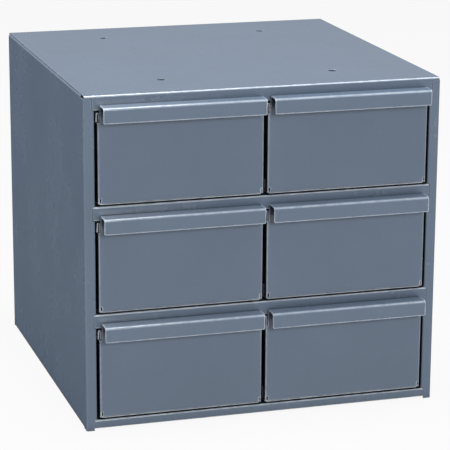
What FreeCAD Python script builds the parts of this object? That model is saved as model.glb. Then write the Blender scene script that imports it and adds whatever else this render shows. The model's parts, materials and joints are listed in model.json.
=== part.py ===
# Bench-top steel cabinet with six small drawers in three rows, folded and spot-welded
# from thin sheet. Millimetres, +Z up, the drawer fronts face -Y, and the origin lies under
# the middle of the whole cabinet, pulls included.
import FreeCAD, Part
import math
import os
import re
import Sketcher

row_names = ("lower", "middle", "upper")
column_signs = {"left": -1, "right": 1}

# Every size that can be set by itself. The bend radius is the inner one, and the tight bend
# radius is the outer one of hidden folds, whose inner corner stays sharp.
sizes = {
    # Shell
    "cabinet_width": 298.45,
    "cabinet_depth": 295.3,
    "cabinet_height": 276.2,
    "gauge": 0.9,
    "bend_radius": 0.8,
    "tight_bend_radius": 1.2,
    "flange_width": 12.7,
    "relief_width": 0.8,
    "seam_gap": 0.25,
    "overrun": 1.0,
    # Frame round the drawers
    "stile_width": 9.0,
    "stile_return": 9.0,
    "rail_height": 11.6,
    "rail_return": 9.0,
    "rail_lap": 2.0,
    "top_rail_height": 12.1,
    "top_side_step": 0.9,
    "corner_lip": 2.2,
    "floor_rise": 9.0,
    "floor_gap": 1.5,
    # Holes in the top
    "hole_spacing_across": 146.05,
    "hole_spacing_deep": 196.85,
    "hole_diameter": 7.1,
    # Runners
    "runner_foot": 9.0,
    "runner_height": 10.0,
    "runner_gap": 0.8,
    "runner_setback": 2.0,
    # Drawer fronts and their pulls
    "side_gap": 2.1,
    "centre_gap": 3.25,
    "slide_gap": 0.3,
    "front_return": 12.7,
    "return_end_gap": 2.0,
    "pull_reach": 14.3,
    "pull_rise": 4.6,
    "pull_drop": 12.6,
    "pull_inset": 1.8,
    "pull_radius": 1.6,
    "lip_corner": 0.8,
    "relief_hole_width": 1.4,
    "relief_hole_height": 3.6,
    "relief_hole_rise": 1.0,
    # Drawer trays and their backs
    "tray_length": 286.0,
    "tray_headroom": 1.6,
    "tray_setback": 1.2,
    "hem_gap": 0.7,
    "hem_flare": 0.3,
    "hem_length": 7.5,
    "back_flange": 10.0,
    "stop_width": 45.0,
    "stop_slope": 6.0,
    "stop_catch": 3.0,
}
# A hem's top is rounded over nearly half its thickness.
hem_round_share = 0.45
# Of the gauge: points closer than this coincide, and a cut takes at least this cube away.
tolerance_share = 0.001
least_cut_share = 0.5

# Places that follow from the sizes. Drawer heights count from the top of the sheet below.
places = {
    "half_width": "cabinet_width / 2",
    "front_plane": "(pull_reach - cabinet_depth) / 2",
    "rear_plane": "(pull_reach + cabinet_depth) / 2",
    "outer_radius": "bend_radius + gauge",
    "web_inside": "half_width - gauge",
    "opening_edge": "half_width - stile_width",
    "rail_half": "opening_edge + rail_lap",
    "rails_between": f"{len(row_names) - 1} * rail_height",
    "opening_height":
        f"(cabinet_height - top_rail_height - floor_rise - rails_between) / {len(row_names)}",
    "row_pitch": "opening_height + rail_height",
    "side_top": "cabinet_height - gauge",
    "stile_top": "cabinet_height - corner_lip - seam_gap",
    "flange_start": "front_plane + stile_return + relief_width",
    "flange_end": "rear_plane - outer_radius - 2 * relief_width",
    "flange_inside": "half_width - flange_width",
    "relief_height": "outer_radius + relief_width",
    "shelf_rear": "rear_plane - 2 * gauge",
    "half_hole_across": "hole_spacing_across / 2",
    "hole_row_front": "pull_reach / 2 - hole_spacing_deep / 2",
    "front_half": "(opening_edge - side_gap - centre_gap / 2) / 2",
    "drawer_centre": "front_half + centre_gap / 2",
    "face_back": "front_plane - slide_gap",
    "face_front": "face_back - gauge",
    "return_rear": "face_back + front_return",
    "return_top": "tray_top - hem_length - relief_width",
    "pull_top": "opening_height + pull_rise",
    "pull_half": "front_half - pull_inset",
    "lip_front": "front_plane - pull_reach",
    "lip_bottom": "pull_top - pull_drop",
    "tray_bottom": "gauge + slide_gap",
    "tray_floor": "tray_bottom + gauge",
    "tray_top": "opening_height - tray_headroom",
    "tray_front": "face_back + tray_setback",
    "tray_rear": "face_back + tray_length",
    "tray_half": "front_half - gauge",
    "hem_width": "2 * gauge + hem_gap",
    "runner_front": "front_plane + front_return + runner_setback",
    "rib_half": "centre_gap / 2 + gauge - runner_gap",
    "side_leg": "drawer_centre + tray_half + runner_gap",
}

doc = FreeCAD.newDocument("drawer_cabinet")
plan = doc.addObject("Spreadsheet::Sheet", "plan")
for row, (alias, length) in enumerate(sizes.items(), start=1):
    plan.set(f"A{row}", alias)
    plan.set(f"B{row}", str(length))
    plan.setAlias(f"B{row}", alias)
doc.recompute()

word = re.compile(r"[a-z][a-z_]*")


def formula(text):
    # Spells a formula out in the sheet's own cells.
    def spell(match):
        name = match.group(0)
        if name in places:
            return f"({formula(places[name])})"
        return f"plan.{name}" if name in sizes else name

    return word.sub(spell, text)


def value(text):
    return float(plan.evalExpression(formula(text)))


# Drawing and folding

axis_names = ("x", "y", "z")
tolerance = value("gauge") * tolerance_share
least_cut = (value("gauge") * least_cut_share) ** 3


def new_body(label):
    body = doc.addObject("PartDesign::Body", label)
    body.Label = label
    return body


def sketch_on(body, name, plane, height):
    # Opens a sketch parallel to one of the body's own planes, at a given height over it.
    sketch = body.newObject("Sketcher::SketchObject", name)
    origin_plane = [item for item in body.Origin.OriginFeatures if item.Role == plane][0]
    sketch.AttachmentSupport = [(origin_plane, "")]
    sketch.MapMode = "FlatFace"
    sketch.setExpression("AttachmentOffset.Base.z", formula(height))
    return sketch


def pin_point(sketch, edge, end, across, up):
    # Ties one point of the sketch to its place across and up.
    for kind, axis_line, text in (("DistanceX", -2, across), ("DistanceY", -1, up)):
        distance = value(text)
        if abs(distance) < tolerance:
            sketch.addConstraint(Sketcher.Constraint("PointOnObject", edge, end, axis_line))
            continue
        index = sketch.addConstraint(Sketcher.Constraint(kind, -1, 1, edge, end, distance))
        sketch.setExpression(f"Constraints[{index}]", formula(text))


def draw_outline(sketch, corners):
    # Draws a closed outline through corners given as (across, up).
    first = sketch.GeometryCount
    count = len(corners)
    spots = [FreeCAD.Vector(value(across), value(up), 0) for across, up in corners]
    for index in range(count):
        sketch.addGeometry(Part.LineSegment(spots[index], spots[(index + 1) % count]), False)
    for index in range(count):
        following = first + (index + 1) % count
        sketch.addConstraint(Sketcher.Constraint("Coincident", first + index, 2, following, 1))
    for index, (across, up) in enumerate(corners):
        pin_point(sketch, first + index, 1, across, up)


def draw_block(sketch, low_across, high_across, low_up, high_up):
    draw_outline(sketch, [
        (low_across, low_up), (high_across, low_up), (high_across, high_up), (low_across, high_up),
    ])


def draw_circle(sketch, across, up, radius):
    centre = FreeCAD.Vector(value(across), value(up), 0)
    edge = sketch.addGeometry(Part.Circle(centre, FreeCAD.Vector(0, 0, 1), value(radius)), False)
    pin_point(sketch, edge, 3, across, up)
    index = sketch.addConstraint(Sketcher.Constraint("Radius", edge, value(radius)))
    sketch.setExpression(f"Constraints[{index}]", formula(radius))


def draw_upright_slot(sketch, across, low, high, radius):
    # Draws a round-ended slot whose end centres lie at low and high.
    low_centre = FreeCAD.Vector(value(across), value(low), 0)
    high_centre = FreeCAD.Vector(value(across), value(high), 0)
    side = FreeCAD.Vector(value(radius), 0, 0)
    high_circle = Part.Circle(high_centre, FreeCAD.Vector(0, 0, 1), value(radius))
    low_circle = Part.Circle(low_centre, FreeCAD.Vector(0, 0, 1), value(radius))
    top = sketch.addGeometry(Part.ArcOfCircle(high_circle, 0, math.pi), False)
    base = sketch.addGeometry(Part.ArcOfCircle(low_circle, math.pi, 0), False)
    left = sketch.addGeometry(Part.LineSegment(high_centre - side, low_centre - side), False)
    right = sketch.addGeometry(Part.LineSegment(low_centre + side, high_centre + side), False)
    for edge, end, following in ((top, 2, left), (left, 2, base), (base, 2, right), (right, 2, top)):
        sketch.addConstraint(Sketcher.Constraint("Tangent", edge, end, following, 1))
    pin_point(sketch, top, 3, across, high)
    pin_point(sketch, base, 3, across, low)
    index = sketch.addConstraint(Sketcher.Constraint("Radius", top, value(radius)))
    sketch.setExpression(f"Constraints[{index}]", formula(radius))


def extrude(body, name, plane, start, end, *outlines):
    # Adds sheet: each outline is carried from start to end, square to the plane.
    # The upright plane across the cabinet looks towards -Y, so its heights change sign.
    height = f"-({end})" if plane == "XZ_Plane" else start
    sketch = sketch_on(body, name + "_sketch", plane, height)
    for corners in outlines:
        draw_outline(sketch, corners)
    pad = body.newObject("PartDesign::Pad", name)
    pad.Profile = sketch
    pad.setExpression("Length", formula(f"({end}) - ({start})"))
    doc.recompute()
    return pad


def cut(body, name, plane, start, end, draw):
    # Cuts sheet away from start to end; draw fills the sketch that gives the shape.
    before = body.Shape.Volume
    height = f"-({start})" if plane == "XZ_Plane" else end
    sketch = sketch_on(body, name + "_sketch", plane, height)
    draw(sketch)
    pocket = body.newObject("PartDesign::Pocket", name)
    pocket.Profile = sketch
    pocket.setExpression("Length", formula(f"({end}) - ({start})"))
    doc.recompute()
    if body.Shape.Volume > before - least_cut:
        raise RuntimeError(f"{body.Label}: {name} cuts nothing")
    return pocket


def edges_along(shape, axis, spots, span):
    # Names the straight edges that run along the axis through one of the spots.
    along = axis_names.index(axis)
    others = [number for number in range(len(axis_names)) if number != along]
    found = []
    for number, edge in enumerate(shape.Edges, start=1):
        if edge.Curve.TypeId != "Part::GeomLine":
            continue
        ends = [edge.Vertexes[0].Point, edge.Vertexes[-1].Point]
        if span and (min(end[along] for end in ends) < span[0] - tolerance
                     or max(end[along] for end in ends) > span[1] + tolerance):
            continue
        for spot in spots:
            if all(abs(end[other] - spot[place]) < tolerance
                   for end in ends for place, other in enumerate(others)):
                found.append(f"Edge{number}")
                break
    return found


def dress_edges(body, kind, name, size, runs, span):
    # Each run is an axis and the spots that its edges pass through.
    if span:
        span = (value(span[0]), value(span[1]))
    sharp = body.Tip
    edges = []
    for axis, spots in runs:
        places_of_run = [(value(first), value(second)) for first, second in spots]
        found = edges_along(sharp.Shape, axis, places_of_run, span)
        if len(found) < len(spots):
            raise RuntimeError(f"{body.Label}: {name} finds {len(found)} of {len(spots)} edges")
        edges += found
    feature = body.newObject(f"PartDesign::{kind}", name)
    feature.Base = (sharp, edges)
    feature.setExpression("Radius" if kind == "Fillet" else "Size", formula(size))
    doc.recompute()
    if not feature.isValid():
        raise RuntimeError(f"{body.Label}: {name} did not build")


def round_edges(body, name, radius, *runs, span=None):
    dress_edges(body, "Fillet", name, radius, runs, span)


def clip_corners(body, name, size, *runs):
    dress_edges(body, "Chamfer", name, size, runs, None)


# Shell

def side_panel(label, sign):
    # Web with a front stile that turns in and back, and joining flanges on the other edges.
    body = new_body(label)
    outer = f"{sign} * half_width"
    inside = f"{sign} * web_inside"
    opening = f"{sign} * opening_edge"
    return_inside = f"{sign} * (opening_edge + gauge)"
    flange = f"{sign} * flange_inside"
    extrude(body, "web", "XY_Plane", "0", "side_top", [
        (outer, "front_plane"), (opening, "front_plane"),
        (opening, "front_plane + stile_return"), (return_inside, "front_plane + stile_return"),
        (return_inside, "front_plane + gauge"), (inside, "front_plane + gauge"),
        (inside, "rear_plane - gauge"), (flange, "rear_plane - gauge"),
        (flange, "rear_plane"), (outer, "rear_plane"),
    ])
    round_edges(body, "stile_bends", "outer_radius", ("z", [
        (outer, "front_plane"), (opening, "front_plane"), (outer, "rear_plane"),
    ]))
    round_edges(body, "stile_bend_insides", "bend_radius", ("z", [
        (inside, "front_plane + gauge"), (return_inside, "front_plane + gauge"),
        (inside, "rear_plane - gauge"),
    ]))

    # The stile and the rear flange stop under the top's edges, and a slit at each end of a
    # joining flange lets it fold.
    def corner_reliefs(sketch):
        for edge, slit, flange_edge in (
                ("front_plane - overrun", "flange_start - relief_width", "flange_start"),
                ("rear_plane + overrun", "flange_end + relief_width", "flange_end")):
            draw_outline(sketch, [
                (edge, "stile_top"), (slit, "stile_top"), (slit, "side_top - relief_height"),
                (flange_edge, "side_top - relief_height"), (flange_edge, "cabinet_height"),
                (edge, "cabinet_height"),
            ])
            draw_outline(sketch, [
                (slit, "-overrun"), (slit, "relief_height"), (flange_edge, "relief_height"),
                (flange_edge, "-overrun"),
            ])

    cut(body, "corner_reliefs", "YZ_Plane", "-(half_width + overrun)", "half_width + overrun",
        corner_reliefs)

    for name, low, high in (("top_flange", "side_top - gauge", "side_top"),
                            ("foot_flange", "0", "gauge")):
        extrude(body, name, "XZ_Plane", "flange_start", "flange_end",
                [(outer, low), (flange, low), (flange, high), (outer, high)])
    round_edges(body, "flange_bends", "outer_radius", ("y", [(outer, "side_top"), (outer, "0")]),
                span=("flange_start", "flange_end"))
    round_edges(body, "flange_bend_insides", "bend_radius",
                ("y", [(inside, "side_top - gauge"), (inside, "gauge")]),
                span=("flange_start", "flange_end"))

    def rail_notches(sketch):
        sides = sorted([f"{sign} * (opening_edge - overrun)", f"{sign} * (rail_half + seam_gap)"],
                       key=value)
        draw_block(sketch, sides[0], sides[1], "-overrun", "floor_rise + seam_gap")
        for number in range(1, len(row_names)):
            level = f"floor_rise + {number} * row_pitch"
            draw_block(sketch, sides[0], sides[1], f"{level} - rail_height - seam_gap",
                       f"{level} + seam_gap")
        draw_block(sketch, sides[0], sides[1], "cabinet_height - top_rail_height - seam_gap",
                   "cabinet_height")

    cut(body, "rail_notches", "XZ_Plane", "front_plane - overrun",
        "front_plane + stile_return + overrun", rail_notches)


def channel(body, rear, front_drop, rear_drop, half_length):
    # A sheet with its front edge folded down and back as a rail, and its rear edge down.
    extrude(body, "sheet", "YZ_Plane", f"-({half_length})", half_length, [
        ("front_plane + rail_return", f"-{front_drop}"), ("front_plane", f"-{front_drop}"),
        ("front_plane", "0"), (rear, "0"), (rear, f"-{rear_drop}"),
        (f"{rear} - gauge", f"-{rear_drop}"), (f"{rear} - gauge", "-gauge"),
        ("front_plane + gauge", "-gauge"), ("front_plane + gauge", f"gauge - {front_drop}"),
        ("front_plane + rail_return", f"gauge - {front_drop}"),
    ])
    round_edges(body, "bends", "outer_radius", ("x", [
        ("front_plane", f"-{front_drop}"), ("front_plane", "0"), (rear, "0"),
    ]))
    round_edges(body, "bend_insides", "bend_radius", ("x", [
        ("front_plane + gauge", f"gauge - {front_drop}"), ("front_plane + gauge", "-gauge"),
        (f"{rear} - gauge", "-gauge"),
    ]))


def shelf(label, height, front_drop, drop):
    # A drawer level: its front rail fills the frame and its side flanges meet the webs.
    body = new_body(label)
    channel(body, "shelf_rear", front_drop, drop, "rail_half")
    extrude(body, "wings", "XZ_Plane", "flange_start", "shelf_rear - relief_height", [
        ("-web_inside", f"-{drop}"), ("-web_inside", "0"), ("web_inside", "0"),
        ("web_inside", f"-{drop}"), ("web_inside - gauge", f"-{drop}"),
        ("web_inside - gauge", "-gauge"), ("gauge - web_inside", "-gauge"),
        ("gauge - web_inside", f"-{drop}"),
    ])
    round_edges(body, "wing_bends", "tight_bend_radius",
                ("y", [("-web_inside", "0"), ("web_inside", "0")]))
    body.setExpression("Placement.Base.z", formula(height))


def top_panel():
    # Laps over the side panels; its front rail and rear flange drop between them.
    body = new_body("top_panel")
    half = "(half_width - top_side_step)"
    channel(body, "rear_plane", "top_rail_height", "flange_width", half)

    def rail_ends(sketch):
        for low, high in ((f"-{half} - overrun", "-rail_half"), ("rail_half", f"{half} + overrun")):
            draw_block(sketch, low, high, "-top_rail_height - overrun", "-corner_lip")

    def flange_ends(sketch):
        end = "(flange_inside - seam_gap)"
        for low, high in ((f"-{half} - overrun", f"-{end}"), (end, f"{half} + overrun")):
            draw_block(sketch, low, high, "-flange_width - overrun", "-corner_lip")

    def holes(sketch):
        for across in ("-half_hole_across", "half_hole_across"):
            draw_circle(sketch, across, "hole_row_front", "hole_diameter / 2")

    cut(body, "rail_ends", "XZ_Plane", "front_plane - overrun",
        "front_plane + rail_return + overrun", rail_ends)
    cut(body, "flange_ends", "XZ_Plane", "rear_plane - relief_height", "rear_plane + overrun",
        flange_ends)
    front_holes = cut(body, "front_holes", "XY_Plane", "-gauge - overrun", "0", holes)
    all_holes = body.newObject("PartDesign::LinearPattern", "all_holes")
    all_holes.Originals = [front_holes]
    all_holes.Direction = (front_holes.Profile[0], ["V_Axis"])
    all_holes.setExpression("Length", formula("hole_spacing_deep"))
    all_holes.Occurrences = 2
    body.Tip = all_holes
    body.setExpression("Placement.Base.z", formula("cabinet_height"))
    doc.recompute()


def back_panel():
    # Stands inside the rear flanges, with its top and bottom edges folded forward.
    body = new_body("back_panel")
    half = "(web_inside - bend_radius)"
    extrude(body, "sheet", "YZ_Plane", f"-{half}", half, [
        ("rear_plane - gauge", "0"), ("rear_plane - gauge", "side_top"),
        ("rear_plane - flange_width", "side_top"), ("rear_plane - flange_width", "side_top - gauge"),
        ("shelf_rear", "side_top - gauge"), ("shelf_rear", "gauge"),
        ("rear_plane - flange_width", "gauge"), ("rear_plane - flange_width", "0"),
    ])
    round_edges(body, "bends", "outer_radius",
                ("x", [("rear_plane - gauge", "0"), ("rear_plane - gauge", "side_top")]))
    round_edges(body, "bend_insides", "bend_radius",
                ("x", [("shelf_rear", "side_top - gauge"), ("shelf_rear", "gauge")]))

    def corners(sketch):
        end = "(flange_inside - seam_gap)"
        for low, high in (("-half_width", f"-{end}"), (end, "half_width")):
            draw_block(sketch, low, high, "-overrun", "relief_height")
            draw_block(sketch, low, high, "side_top - relief_height", "side_top + overrun")

    cut(body, "corners", "XZ_Plane", "rear_plane - flange_width - overrun", "rear_plane", corners)


# Runners

def side_runner(label, sign, level):
    # An angle: the drawer rides on its foot and is kept straight by its upright leg.
    body = new_body(label)
    leg_inside = f"{sign} * side_leg"
    leg_outside = f"{sign} * (side_leg + gauge)"
    toe = f"{sign} * (side_leg - runner_foot)"
    extrude(body, "angle", "XZ_Plane", "runner_front", "tray_rear", [
        (toe, "0"), (leg_outside, "0"), (leg_outside, "runner_height"),
        (leg_inside, "runner_height"), (leg_inside, "gauge"), (toe, "gauge"),
    ])
    round_edges(body, "bend", "outer_radius", ("y", [(leg_outside, "0")]))
    round_edges(body, "bend_inside", "bend_radius", ("y", [(leg_inside, "gauge")]))
    body.setExpression("Placement.Base.z", formula(level))


def centre_runner(label, level):
    # A narrow folded rib between two drawers, with a foot under each of them.
    body = new_body(label)
    toe = "(rib_half + runner_foot)"
    extrude(body, "rib", "XZ_Plane", "runner_front", "tray_rear", [
        (f"-{toe}", "0"), ("gauge - rib_half", "0"), ("gauge - rib_half", "runner_height - gauge"),
        ("rib_half - gauge", "runner_height - gauge"), ("rib_half - gauge", "0"), (toe, "0"),
        (toe, "gauge"), ("rib_half", "gauge"), ("rib_half", "runner_height"),
        ("-rib_half", "runner_height"), ("-rib_half", "gauge"), (f"-{toe}", "gauge"),
    ])
    round_edges(body, "bends", "tight_bend_radius", ("y", [
        ("-rib_half", "runner_height"), ("rib_half", "runner_height"),
        ("gauge - rib_half", "0"), ("rib_half - gauge", "0"),
    ]))
    body.setExpression("Placement.Base.z", formula(level))


# Drawers

def place_drawer_piece(body, sign, level):
    body.setExpression("Placement.Base.x", formula(f"{sign} * drawer_centre"))
    body.setExpression("Placement.Base.z", formula(level))
    doc.recompute()


def drawer_front(label, sign, level):
    # One folded sheet: face, two side returns, a bottom return, and the full-width pull.
    body = new_body(label)
    extrude(body, "face", "YZ_Plane", "-front_half", "front_half", [
        ("return_rear", "tray_floor"), ("face_front", "tray_floor"), ("face_front", "return_top"),
        ("face_back", "return_top"), ("face_back", "tray_floor + gauge"),
        ("return_rear", "tray_floor + gauge"),
    ])
    extrude(body, "side_returns", "XY_Plane", "tray_floor", "return_top", [
        ("-front_half", "return_rear"), ("-front_half", "face_front"),
        ("front_half", "face_front"), ("front_half", "return_rear"),
        ("tray_half", "return_rear"), ("tray_half", "face_back"),
        ("-tray_half", "face_back"), ("-tray_half", "return_rear"),
    ])
    round_edges(body, "face_bends", "outer_radius",
                ("z", [("-front_half", "face_front"), ("front_half", "face_front")]),
                ("x", [("face_front", "tray_floor")]))
    round_edges(body, "face_bend_insides", "bend_radius",
                ("z", [("-tray_half", "face_back"), ("tray_half", "face_back")]),
                ("x", [("face_back", "tray_floor + gauge")]))

    # Above the side returns the sheet is notched in to the pull's width. The pull rises in
    # front of the rail above, runs forward and turns down into a lip.
    extrude(body, "pull", "YZ_Plane", "-pull_half", "pull_half", [
        ("face_front", "return_top - overrun"), ("face_front", "pull_top - gauge"),
        ("lip_front + gauge", "pull_top - gauge"), ("lip_front + gauge", "lip_bottom"),
        ("lip_front", "lip_bottom"), ("lip_front", "pull_top"), ("face_back", "pull_top"),
        ("face_back", "return_top - overrun"),
    ])
    round_edges(body, "pull_root", "outer_radius", ("x", [("face_back", "pull_top")]))
    round_edges(body, "pull_root_inside", "bend_radius", ("x", [("face_front", "pull_top - gauge")]))
    round_edges(body, "pull_edge", "pull_radius + gauge", ("x", [("lip_front", "pull_top")]))
    round_edges(body, "pull_edge_inside", "pull_radius",
                ("x", [("lip_front + gauge", "pull_top - gauge")]))
    clip_corners(body, "lip_corners", "lip_corner",
                 ("y", [("-pull_half", "lip_bottom"), ("pull_half", "lip_bottom")]))

    def relief_holes(sketch):
        radius = "relief_hole_width / 2"
        low = f"tray_floor + relief_hole_rise + {radius}"
        high = f"tray_floor + relief_hole_rise + relief_hole_height - {radius}"
        for across in ("outer_radius - front_half", "front_half - outer_radius"):
            draw_upright_slot(sketch, across, low, high, radius)

    def return_ends(sketch):
        inner = "(tray_half - return_end_gap)"
        for low, high in (("-tray_half", f"-{inner}"), (inner, "tray_half")):
            draw_block(sketch, low, high, "face_back + bend_radius + seam_gap / 2",
                       "return_rear + overrun")

    cut(body, "relief_holes", "XZ_Plane", "face_front - overrun",
        "face_back + bend_radius + overrun", relief_holes)
    cut(body, "return_ends", "XY_Plane", "tray_floor - overrun", "tray_floor + gauge + overrun",
        return_ends)
    place_drawer_piece(body, sign, level)


def drawer_tray(label, sign, level):
    # Bottom and two sides from one sheet. The sides' top edges fold out and down as open hems,
    # whose front ends show in the notches of the front.
    body = new_body(label)
    hem_edge = "tray_half + hem_gap + hem_flare"
    right_side = [
        ("tray_half", "tray_bottom"), ("tray_half", "tray_top - gauge"),
        ("tray_half + hem_gap", "tray_top - gauge"), (hem_edge, "tray_top - hem_length"),
        (f"{hem_edge} + gauge", "tray_top - hem_length"), ("tray_half + hem_gap + gauge", "tray_top"),
        ("tray_half - gauge", "tray_top"), ("tray_half - gauge", "tray_floor"),
    ]
    left_side = [(f"-({across})", up) for across, up in reversed(right_side)]
    extrude(body, "trough", "XZ_Plane", "tray_front", "tray_rear", right_side + left_side)

    def both_sides(*spots):
        return "y", [(f"{sign_of_side} * ({across})", up)
                     for sign_of_side in column_signs.values() for across, up in spots]

    round_edges(body, "bends", "outer_radius", both_sides(("tray_half", "tray_bottom")))
    round_edges(body, "bend_insides", "bend_radius", both_sides(("tray_half - gauge", "tray_floor")))
    round_edges(body, "hems", f"hem_width * {hem_round_share}",
                both_sides(("tray_half + hem_gap + gauge", "tray_top"), ("tray_half - gauge", "tray_top")))
    place_drawer_piece(body, sign, level)


def drawer_back(label, sign, level):
    # Closes the tray; its flanges lie against the tray, and its tab stops the drawer.
    body = new_body(label)
    flanges_front = "tray_rear - back_flange"
    extrude(body, "side_flanges", "XY_Plane", "tray_floor + outer_radius", "tray_top", [
        ("gauge - tray_half", flanges_front), ("gauge - tray_half", "tray_rear"),
        ("tray_half - gauge", "tray_rear"), ("tray_half - gauge", flanges_front),
        ("tray_half - 2 * gauge", flanges_front), ("tray_half - 2 * gauge", "tray_rear - gauge"),
        ("2 * gauge - tray_half", "tray_rear - gauge"), ("2 * gauge - tray_half", flanges_front),
    ])
    round_edges(body, "side_bends", "tight_bend_radius",
                ("z", [("gauge - tray_half", "tray_rear"), ("tray_half - gauge", "tray_rear")]))
    plate_half = "(tray_half - 2 * gauge - relief_width)"
    extrude(body, "plate", "XZ_Plane", "tray_rear - gauge", "tray_rear", [
        (f"-{plate_half}", "tray_floor"), (plate_half, "tray_floor"), (plate_half, "tray_top"),
        ("stop_width / 2 + stop_slope", "tray_top"),
        ("stop_width / 2", "opening_height + stop_catch"),
        ("-stop_width / 2", "opening_height + stop_catch"),
        ("-stop_width / 2 - stop_slope", "tray_top"), (f"-{plate_half}", "tray_top"),
    ])
    extrude(body, "foot_flange", "YZ_Plane", f"-{plate_half}", plate_half, [
        (flanges_front, "tray_floor"), ("tray_rear", "tray_floor"),
        ("tray_rear", "tray_floor + gauge"), (flanges_front, "tray_floor + gauge"),
    ])
    round_edges(body, "foot_bend", "tight_bend_radius", ("x", [("tray_rear", "tray_floor")]))
    place_drawer_piece(body, sign, level)


for side_name, side_sign in column_signs.items():
    side_panel(f"side_panel_{side_name}", side_sign)
top_panel()
back_panel()
shelf("floor_panel", "floor_rise", "(floor_rise - floor_gap)", "(floor_rise - relief_height)")
for row_number, row_name in enumerate(row_names):
    row_level = f"floor_rise + {row_number} * row_pitch"
    if row_number > 0:
        shelf(f"shelf_{row_name}", row_level, "rail_height", "rail_height")
    centre_runner(f"runner_centre_{row_name}", row_level)
    for side_name, side_sign in column_signs.items():
        side_runner(f"runner_{side_name}_{row_name}", side_sign, row_level)
        place_name = f"{row_name}_{side_name}"
        drawer_front(f"drawer_front_{place_name}", side_sign, row_level)
        drawer_tray(f"drawer_tray_{place_name}", side_sign, row_level)
        drawer_back(f"drawer_back_{place_name}", side_sign, row_level)
doc.recompute()

# Checks every feature, then writes one file for each piece.
for item in doc.Objects:
    if "Invalid" in item.State or "Error" in item.State:
        raise RuntimeError(f"{item.Label} did not build: {item.State}")
pieces = [item for item in doc.Objects if item.TypeId == "PartDesign::Body"]
for piece in pieces:
    if piece.Shape.isNull() or not piece.Shape.isValid() or len(piece.Shape.Solids) != 1:
        raise RuntimeError(f"{piece.Label} is not one valid solid")
os.makedirs("parts", exist_ok=True)
for piece in pieces:
    piece.Shape.exportStep(f"parts/{piece.Label}.step")
    print(f"{piece.Label}: {piece.Shape.Volume:.0f} cubic mm")
travel = value("tray_length - gauge - slide_gap - rail_return - slide_gap")
print(f"{len(pieces)} pieces, drawer travel {travel:.1f} mm")
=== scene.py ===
import bpy
import json
import math
from mathutils import Matrix, Vector

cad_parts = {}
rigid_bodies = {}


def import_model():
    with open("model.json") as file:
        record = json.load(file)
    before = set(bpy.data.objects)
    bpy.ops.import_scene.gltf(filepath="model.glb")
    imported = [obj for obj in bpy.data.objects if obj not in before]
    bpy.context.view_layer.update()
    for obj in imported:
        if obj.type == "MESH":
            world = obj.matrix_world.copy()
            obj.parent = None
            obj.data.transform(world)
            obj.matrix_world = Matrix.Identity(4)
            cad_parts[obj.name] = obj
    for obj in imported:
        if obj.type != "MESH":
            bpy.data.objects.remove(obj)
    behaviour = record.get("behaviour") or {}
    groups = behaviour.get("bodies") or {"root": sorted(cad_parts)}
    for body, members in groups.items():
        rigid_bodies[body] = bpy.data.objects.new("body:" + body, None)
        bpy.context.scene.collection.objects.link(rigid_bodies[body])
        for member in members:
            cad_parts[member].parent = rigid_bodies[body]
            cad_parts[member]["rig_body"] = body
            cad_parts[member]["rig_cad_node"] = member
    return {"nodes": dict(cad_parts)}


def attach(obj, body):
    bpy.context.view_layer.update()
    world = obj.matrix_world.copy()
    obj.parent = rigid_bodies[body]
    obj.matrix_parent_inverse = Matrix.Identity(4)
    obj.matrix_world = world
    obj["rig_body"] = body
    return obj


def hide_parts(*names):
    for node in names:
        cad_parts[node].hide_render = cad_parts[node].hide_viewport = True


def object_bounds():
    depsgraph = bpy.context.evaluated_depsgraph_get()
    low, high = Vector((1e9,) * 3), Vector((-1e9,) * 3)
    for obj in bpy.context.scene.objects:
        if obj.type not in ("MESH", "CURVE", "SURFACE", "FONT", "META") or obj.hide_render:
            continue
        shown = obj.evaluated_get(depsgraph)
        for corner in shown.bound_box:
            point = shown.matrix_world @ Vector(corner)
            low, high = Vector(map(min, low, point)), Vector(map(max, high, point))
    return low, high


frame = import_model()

cadLow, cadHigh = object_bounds()
print("frame loaded,", len(frame["nodes"]), "sheet pieces")

# Studio

studio = {
    "cameraPlace": (-0.514, -1.72085, 0.610),
    "azimuth": -16.91,        # degrees, seen from the left of the fronts
    "elevation": 15.09,
    "roll": 0.33,
    "lens": 170.4,            # mm on the sensor below
    "sensor": 36.0,
    "white": (1.0, 1.0, 1.0, 1.0),
    "worldLight": 0.15,       # what falls on the cabinet from all round
    "worldSeen": 0.37,        # what the camera sees and the paint mirrors
    "floorSize": 14.0,
    "floorDrop": 0.0002,      # below the cabinet's feet, so that the two don't meet
    "floorColour": (0.4, 0.4, 0.4, 1.0),
    "floorGlow": 0.92,        # share of plain white seen in the floor
    "flagSize": (2.05, 3.2),  # a black flag on the floor, mirrored in the left side
    "flagPlace": (-1.1745, 1.46, 0.0005),
    "flagColour": (0.01, 0.01, 0.01, 1.0),
    "flagRoughness": 0.9,
    "aim": (0.0, -0.1, 0.14),  # where the three lamps point
    "frontPlace": (0.1, -2.0, 0.84),
    "frontSize": (0.4, 0.5),
    "frontPower": 22.2,
    "sidePlace": (-2.05, 0.45, 0.71),
    "sideSize": (0.8, 0.8),
    "sidePower": 30.0,
    "topPlace": (0.0, -0.25, 2.2),
    "topSize": (0.9, 0.9),
    "topPower": 58.0,
}


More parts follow.
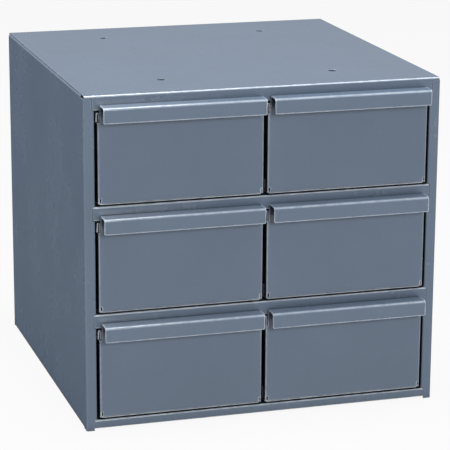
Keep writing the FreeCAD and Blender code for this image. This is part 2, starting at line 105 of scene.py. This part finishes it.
def makeCamera(look):
    azimuth, elevation, roll = [math.radians(look[key]) for key in ("azimuth", "elevation", "roll")]
    back = Vector((math.sin(azimuth) * math.cos(elevation),
                   -math.cos(azimuth) * math.cos(elevation), math.sin(elevation)))
    right = (-back).cross(Vector((0, 0, 1))).normalized()
    up = right.cross(-back)
    tiltedRight = math.cos(roll) * right + math.sin(roll) * up
    tiltedUp = math.cos(roll) * up - math.sin(roll) * right
    bpy.ops.object.camera_add()
    camera = bpy.context.object
    camera.name = "camera"
    turn = Matrix((tiltedRight, tiltedUp, back)).transposed().to_4x4()
    camera.matrix_world = Matrix.Translation(look["cameraPlace"]) @ turn
    camera.data.sensor_width = look["sensor"]
    camera.data.lens = look["lens"]
    bpy.context.scene.camera = camera


def makeLamp(look, name):
    place = look[name + "Place"]
    bpy.ops.object.light_add(type="AREA", location=place)
    lamp = bpy.context.object
    lamp.name = name + "Lamp"
    lamp.rotation_euler = (Vector(look["aim"]) - Vector(place)).to_track_quat("-Z", "Y").to_euler()
    lamp.data.shape = "RECTANGLE"
    lamp.data.size, lamp.data.size_y = look[name + "Size"]
    lamp.data.energy = look[name + "Power"]


def addMath(tree, operation, first, second, clamped=False):
    step = tree.nodes.new("ShaderNodeMath")
    step.operation = operation
    step.use_clamp = clamped
    for value, socket in ((first, step.inputs[0]), (second, step.inputs[1])):
        if isinstance(value, float):
            socket.default_value = value
        else:
            tree.links.new(value, socket)
    return step.outputs[0]


def addSeenShare(tree, share):
    # The share for rays that see a surface: straight, mirrored or through glass.
    path = tree.nodes.new("ShaderNodeLightPath")
    seen = path.outputs["Is Camera Ray"]
    for kind in ("Is Glossy Ray", "Is Transmission Ray"):
        seen = addMath(tree, "ADD", seen, path.outputs[kind], clamped=True)
    return addMath(tree, "MULTIPLY", seen, share)


def makeWorld(look):
    world = bpy.data.worlds.new("softStudio")
    bpy.context.scene.world = world
    world.use_nodes = True
    tree = world.node_tree
    tree.nodes.clear()
    output = tree.nodes.new("ShaderNodeOutputWorld")
    mix = tree.nodes.new("ShaderNodeMixShader")
    tree.links.new(addSeenShare(tree, 1.0), mix.inputs[0])
    for socket, strength in ((1, look["worldLight"]), (2, look["worldSeen"])):
        background = tree.nodes.new("ShaderNodeBackground")
        background.inputs["Color"].default_value = look["white"]
        background.inputs["Strength"].default_value = strength
        tree.links.new(background.outputs[0], mix.inputs[socket])
    tree.links.new(mix.outputs[0], output.inputs["Surface"])


def makeFloor(look):
    bpy.ops.object.select_all(action="DESELECT")
    bpy.ops.mesh.primitive_plane_add(size=look["floorSize"],
                                     location=(0, 0, cadLow.z - look["floorDrop"]))
    floor = bpy.context.object
    floor.name = "floor"
    material = bpy.data.materials.new("paleFloor")
    material.use_nodes = True
    tree = material.node_tree
    tree.nodes.clear()
    output = tree.nodes.new("ShaderNodeOutputMaterial")
    matt = tree.nodes.new("ShaderNodeBsdfDiffuse")
    matt.inputs["Color"].default_value = look["floorColour"]
    glow = tree.nodes.new("ShaderNodeEmission")
    glow.inputs["Color"].default_value = look["white"]
    glow.inputs["Strength"].default_value = 1.0
    mix = tree.nodes.new("ShaderNodeMixShader")
    tree.links.new(addSeenShare(tree, look["floorGlow"]), mix.inputs[0])
    tree.links.new(matt.outputs[0], mix.inputs[1])
    tree.links.new(glow.outputs[0], mix.inputs[2])
    tree.links.new(mix.outputs[0], output.inputs["Surface"])
    floor.data.materials.append(material)


def makeFlag(look):
    # Only the gloss of the paint sees the flag.
    bpy.ops.object.select_all(action="DESELECT")
    bpy.ops.mesh.primitive_plane_add(size=1, location=look["flagPlace"])
    flag = bpy.context.object
    flag.name = "blackFlag"
    flag.scale = (*look["flagSize"], 1)
    bpy.ops.object.transform_apply(location=True, rotation=True, scale=True)
    flag.visible_camera = False
    flag.visible_diffuse = False
    flag.visible_shadow = False
    flag.visible_transmission = False
    flag.visible_volume_scatter = False
    material = bpy.data.materials.new("flagCloth")
    material.use_nodes = True
    shader = material.node_tree.nodes["Principled BSDF"]
    shader.inputs["Base Color"].default_value = look["flagColour"]
    shader.inputs["Roughness"].default_value = look["flagRoughness"]
    flag.data.materials.append(material)


makeCamera(studio)
makeWorld(studio)
makeFloor(studio)
makeFlag(studio)
for lampName in ("front", "side", "top"):
    makeLamp(studio, lampName)
bpy.context.scene.view_settings.view_transform = "Standard"
print("studio ready")

# Enamel

# A range is the two values of a noise or a measure between which its effect changes.
enamelLook = {
    "colour": (0.108, 0.148, 0.207, 1.0),
    "paleColour": (0.118, 0.160, 0.222, 1.0),
    # The next colour is the pale of edges, folds and scratches: painted highlight and wear.
    "highlightAndWearColour": (0.62, 0.68, 0.75, 1.0),
    "roughness": (0.08, 0.13),      # in the smooth and in the dull patches
    "roughnessRange": (0.25, 0.75),
    "specular": 0.5,
    "cloudScale": 14.0,             # patches, per metre
    "cloudDetail": 5.0,
    "cloudRange": (0.3, 0.7),
    "fineDetail": 2.0,              # of specks, orange peel and scratches
    "speckScale": 1500.0,
    "speckRange": (0.25, 0.75),
    "speckShare": 0.22,
    "peelScale": 420.0,             # orange peel
    "peelDepth": 0.00002,
    "waveScale": 8.0,               # the sheet's own waviness
    "waveDetail": 1.0,
    "waveDepth": 0.0002,
    # The edge and fold entries paint edges and folds pale: painted highlight, with some wear on the
    # edges.
    "edgeRadius": 0.0015,           # metres of painted highlight and wear on each side of an edge
    "edgeSamples": 4,
    "edgeRange": (0.985, 0.89),     # cosine of the turn from the face to its rounded edge
    "edgeHighlightAndWearShare": 1.0,
    "foldRange": (0.99, 0.8),       # longest part of the normal, 1 on a face that isn't folded
    "foldHighlightShare": 0.45,
    "frontFoldRange": (0.1, 0.4),   # how far a normal leans both forward and up, as on the pulls
    "otherFoldHighlightShare": 1.0,          # how much of the painted fold highlight goes to folds that don't run along the front
    "chipScale": 160.0,
    "chipDetail": 4.0,
    "chipRange": (0.35, 0.6),
    "chipShares": (0.6, 1.0),       # how much of the painted highlight and wear shows, between the chips and on them
    "patchRoughness": 0.6,          # of the noises for clouds and chips
    "plainRoughness": 0.5,          # of the other noises
    # The next entries set painted shade: colour darkened in crevices, gaps and under the pulls.
    "paintedShadeColour": (0.012, 0.016, 0.021, 1.0),
    "paintedShadeReach": 0.022,            # how far away, in metres, a sheet still hides a place
    "paintedShadeSamples": 8,
    "paintedShadeRange": (0.4, 0.7),       # how open a place is, from full painted shade to none
    "paintedShadeShare": 0.92,
    "paintedShadeOnTops": 0.0,             # how much of the painted shade stays on what faces up
    "unshadedUpRange": (0.3, 0.8),       # how far up a face looks, from painted shade to none
    "scratchScale": 700.0,          # fine lines that run from front to back
    "scratchLength": 45.0,
    "scratchRange": (0.66, 0.74),
    "scratchShare": 0.04,
}
# The shell's cut edges get little pale paint, its folds a strong painted highlight, and it keeps
# its painted shade on what faces up; on trays and runners edges and folds are painted pale, a
# painted highlight with wear from what slides in them.
shellLook = dict(enamelLook, edgeHighlightAndWearShare=0.2, foldHighlightShare=0.85, otherFoldHighlightShare=0.0,
                 roughness=(0.22, 0.30), paintedShadeReach=0.015, paintedShadeRange=(0.34, 0.6), paintedShadeOnTops=1.0)
rubbedHighlightedLook = dict(shellLook, edgeHighlightAndWearShare=1.0, foldHighlightShare=0.45, otherFoldHighlightShare=1.0)
trayLook = dict(rubbedHighlightedLook, roughness=(0.24, 0.36), scratchShare=0.2, scratchLength=90.0,
                highlightAndWearColour=(0.85, 0.88, 0.92, 1.0))
runnerLook = dict(rubbedHighlightedLook, roughness=(0.30, 0.42), scratchShare=0.9, scratchScale=420.0)


def addNoise(tree, coordinates, scale, detail, roughness):
    noise = tree.nodes.new("ShaderNodeTexNoise")
    noise.inputs["Scale"].default_value = scale
    noise.inputs["Detail"].default_value = detail
    noise.inputs["Roughness"].default_value = roughness
    tree.links.new(coordinates, noise.inputs["Vector"])
    return noise.outputs["Fac"]


def mixColours(tree, share, first, second):
    mix = tree.nodes.new("ShaderNodeMix")
    mix.data_type = "RGBA"
    # Of this node's sockets 6 and 7 take the two colours, and output 2 gives the mixed one.
    for value, socket in ((first, mix.inputs[6]), (second, mix.inputs[7])):
        if isinstance(value, tuple):
            socket.default_value = value
        else:
            tree.links.new(value, socket)
    tree.links.new(share, mix.inputs[0])
    return mix.outputs[2]


def mapRange(tree, value, fromRange, toLow, toHigh):
    remap = tree.nodes.new("ShaderNodeMapRange")
    fromLow, fromHigh = fromRange
    for key, number in (("From Min", fromLow), ("From Max", fromHigh),
                        ("To Min", toLow), ("To Max", toHigh)):
        remap.inputs[key].default_value = number
    tree.links.new(value, remap.inputs["Value"])
    return remap.outputs["Result"]


def addBump(tree, height, distance, normal=None):
    bump = tree.nodes.new("ShaderNodeBump")
    bump.inputs["Distance"].default_value = distance
    tree.links.new(height, bump.inputs["Height"])
    if normal:
        tree.links.new(normal, bump.inputs["Normal"])
    return bump.outputs["Normal"]


def addScratches(tree, look, coordinates):
    stretch = tree.nodes.new("ShaderNodeMapping")
    stretch.inputs["Scale"].default_value = (1.0, 1.0 / look["scratchLength"], 1.0)
    tree.links.new(coordinates, stretch.inputs["Vector"])
    lines = addNoise(tree, stretch.outputs[0], look["scratchScale"], look["fineDetail"],
                     look["plainRoughness"])
    return mapRange(tree, lines, look["scratchRange"], 0.0, look["scratchShare"])


def addHighlightAndWear(tree, look, coordinates, faceNormal):
    # Cut edges are painted pale: a painted highlight, with thinned paint as wear.
    bevel = tree.nodes.new("ShaderNodeBevel")
    bevel.samples = look["edgeSamples"]
    bevel.inputs["Radius"].default_value = look["edgeRadius"]
    dot = tree.nodes.new("ShaderNodeVectorMath")
    dot.operation = "DOT_PRODUCT"
    tree.links.new(bevel.outputs["Normal"], dot.inputs[0])
    tree.links.new(faceNormal, dot.inputs[1])
    edge = mapRange(tree, dot.outputs["Value"], look["edgeRange"], 0.0, 1.0)
    edge = addMath(tree, "MULTIPLY", edge, look["edgeHighlightAndWearShare"])

    # Folds, whose normals lean away from the sheet's three directions, are painted pale: a painted
    # highlight.
    lean = tree.nodes.new("ShaderNodeVectorMath")
    lean.operation = "ABSOLUTE"
    tree.links.new(faceNormal, lean.inputs[0])
    parts = tree.nodes.new("ShaderNodeSeparateXYZ")
    tree.links.new(lean.outputs["Vector"], parts.inputs[0])
    across, forward, upward = parts.outputs
    longest = addMath(tree, "MAXIMUM", across, forward)
    longest = addMath(tree, "MAXIMUM", longest, upward)
    fold = mapRange(tree, longest, look["foldRange"], 0.0, look["foldHighlightShare"])
    alongFront = addMath(tree, "MINIMUM", forward, upward)
    alongFront = mapRange(tree, alongFront, look["frontFoldRange"], look["otherFoldHighlightShare"], 1.0)
    fold = addMath(tree, "MULTIPLY", fold, alongFront)

    chips = addNoise(tree, coordinates, look["chipScale"], look["chipDetail"],
                     look["patchRoughness"])
    chips = mapRange(tree, chips, look["chipRange"], *look["chipShares"])
    return addMath(tree, "MULTIPLY", addMath(tree, "MAXIMUM", edge, fold), chips)


def addPaintedShade(tree, look, faceNormal):
    # Painted shade: the colour darkens where sheets meet, in the gaps between them and under the
    # pulls.
    crevice = tree.nodes.new("ShaderNodeAmbientOcclusion")
    crevice.samples = look["paintedShadeSamples"]
    crevice.inputs["Distance"].default_value = look["paintedShadeReach"]
    shadeAmount = mapRange(tree, crevice.outputs["AO"], look["paintedShadeRange"], look["paintedShadeShare"], 0.0)
    # What faces up on the fronts is left without painted shade.
    facing = tree.nodes.new("ShaderNodeSeparateXYZ")
    tree.links.new(faceNormal, facing.inputs[0])
    upward = facing.outputs[2]
    shadeOnUpFaces = mapRange(tree, upward, look["unshadedUpRange"], 1.0, look["paintedShadeOnTops"])
    return addMath(tree, "MULTIPLY", shadeAmount, shadeOnUpFaces)


def makeEnamel(name, look):
    material = bpy.data.materials.new(name)
    material.use_nodes = True
    tree = material.node_tree
    shader = tree.nodes["Principled BSDF"]
    coordinates = tree.nodes.new("ShaderNodeTexCoord").outputs["Object"]
    faceNormal = tree.nodes.new("ShaderNodeNewGeometry").outputs["Normal"]
    clouds = addNoise(tree, coordinates, look["cloudScale"], look["cloudDetail"],
                      look["patchRoughness"])
    specks = addNoise(tree, coordinates, look["speckScale"], look["fineDetail"],
                      look["plainRoughness"])
    peel = addNoise(tree, coordinates, look["peelScale"], look["fineDetail"],
                    look["plainRoughness"])
    wave = addNoise(tree, coordinates, look["waveScale"], look["waveDetail"],
                    look["plainRoughness"])

    tone = mapRange(tree, clouds, look["cloudRange"], 0.0, 1.0)
    colour = mixColours(tree, tone, look["colour"], look["paleColour"])
    grain = mapRange(tree, specks, look["speckRange"], 0.0, look["speckShare"])
    colour = mixColours(tree, grain, colour, look["paleColour"])
    scratches = addScratches(tree, look, coordinates)
    colour = mixColours(tree, scratches, colour, look["highlightAndWearColour"])
    # The pale edges, a painted highlight with some wear, come over the painted shade.
    colour = mixColours(tree, addPaintedShade(tree, look, faceNormal), colour, look["paintedShadeColour"])
    # Edges and folds painted pale: painted highlight with some wear.
    highlightAndWear = addHighlightAndWear(tree, look, coordinates, faceNormal)
    colour = mixColours(tree, highlightAndWear, colour, look["highlightAndWearColour"])
    tree.links.new(colour, shader.inputs["Base Color"])

    roughness = mapRange(tree, clouds, look["roughnessRange"], *look["roughness"])
    tree.links.new(roughness, shader.inputs["Roughness"])
    shader.inputs["Specular IOR Level"].default_value = look["specular"]
    normal = addBump(tree, wave, look["waveDepth"])
    normal = addBump(tree, peel, look["peelDepth"], normal)
    tree.links.new(normal, shader.inputs["Normal"])
    return material


frontEnamel = makeEnamel("frontEnamel", enamelLook)
shellEnamel = makeEnamel("shellEnamel", shellLook)
# Trays and runners get pale edges and folds as painted highlight, with wear.
trayEnamel = makeEnamel("highlightedRubbedTrayEnamel", trayLook)
runnerEnamel = makeEnamel("highlightedWornRunnerEnamel", runnerLook)
print("enamel mixed")

# Sheet pieces

sheetLook = {
    "mergeReach": 0.000002,    # corners closer than this become one
    "flatAngle": 0.2,          # degrees, up to which neighbouring faces become one
    "paintRadius": 0.0002,     # the paint rounds every cut edge
    "paintSteps": 2,
    "cutAngle": 40.0,          # degrees between faces at a cut edge
    "smoothAngle": 35.0,
}


def pickOnly(piece):
    bpy.ops.object.select_all(action="DESELECT")
    piece.select_set(True)
    bpy.context.view_layer.objects.active = piece


def dressSheet(nodeName, material):
    # A merged copy of the sheet, its cut edges rounded by the paint.
    node = frame["nodes"][nodeName]
    pickOnly(node)
    bpy.ops.object.duplicate()
    piece = bpy.context.object
    body = piece["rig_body"]
    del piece["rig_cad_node"]
    piece.parent = None
    piece.name = "painted_" + nodeName
    pickOnly(piece)
    bpy.ops.mesh.customdata_custom_splitnormals_clear()
    bpy.ops.object.mode_set(mode="EDIT")
    bpy.ops.mesh.select_all(action="SELECT")
    bpy.ops.mesh.remove_doubles(threshold=sheetLook["mergeReach"])
    bpy.ops.mesh.dissolve_limited(angle_limit=math.radians(sheetLook["flatAngle"]))
    bpy.ops.object.mode_set(mode="OBJECT")
    rounding = piece.modifiers.new("paintedEdges", "BEVEL")
    rounding.limit_method = "ANGLE"
    rounding.angle_limit = math.radians(sheetLook["cutAngle"])
    rounding.width = sheetLook["paintRadius"]
    rounding.segments = sheetLook["paintSteps"]
    bpy.ops.object.modifier_apply(modifier=rounding.name)
    bpy.ops.object.shade_smooth_by_angle(angle=math.radians(sheetLook["smoothAngle"]))
    evening = piece.modifiers.new("evenFaces", "WEIGHTED_NORMAL")
    evening.keep_sharp = True
    bpy.ops.object.modifier_apply(modifier=evening.name)
    piece.data.materials.clear()
    piece.data.materials.append(material)
    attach(piece, body)
    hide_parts(nodeName)
    return piece


for nodeName in sorted(frame["nodes"]):
    paint = shellEnamel
    if nodeName.startswith("drawer_front"):
        paint = frontEnamel
    elif nodeName.startswith(("drawer_tray", "drawer_back")):
        paint = trayEnamel
    elif nodeName.startswith("runner"):
        paint = runnerEnamel
    dressSheet(nodeName, paint)
print("sheets painted")
